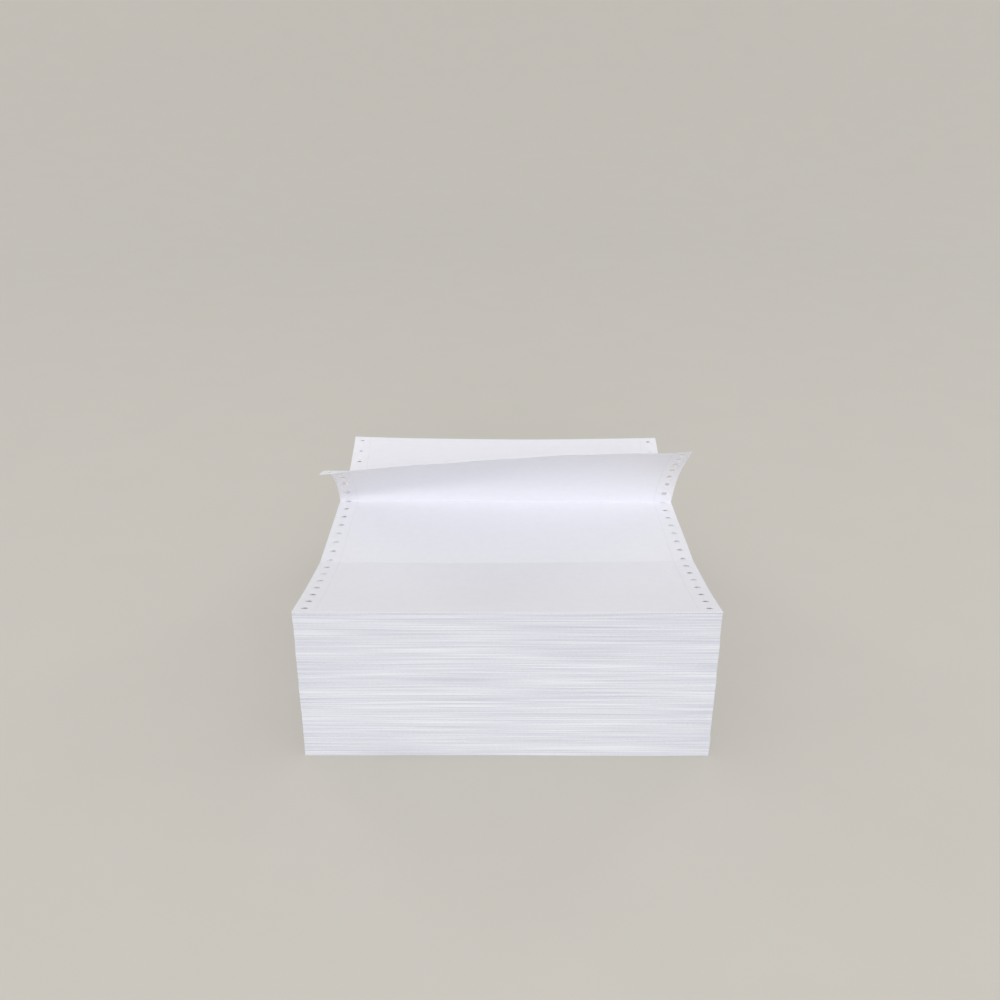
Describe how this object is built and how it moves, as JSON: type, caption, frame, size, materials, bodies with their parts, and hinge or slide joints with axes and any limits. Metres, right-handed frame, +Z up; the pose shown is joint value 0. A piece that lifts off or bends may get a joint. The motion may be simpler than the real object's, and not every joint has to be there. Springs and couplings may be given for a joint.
{
  "type": "stack of continuous form paper",
  "caption": "Fan-folded stack of blank continuous form paper with perforated feed strips along both long edges and its top leaf partly folded up.",
  "frame": {"origin": "centre of the stack's footprint, on the surface it stands on", "axes": "+Z up through the leaves, +Y along the leaves from the front folds to the back folds, +X across the web from one feed strip to the other"},
  "size_m": [0.2414, 0.2794, 0.1469],
  "materials": {
    "bond_paper": "uncoated, matt, bluish white"
  },
  "bodies": {
    "root": {"form_stack": "bond_paper"}
  },
  "joints": []
}
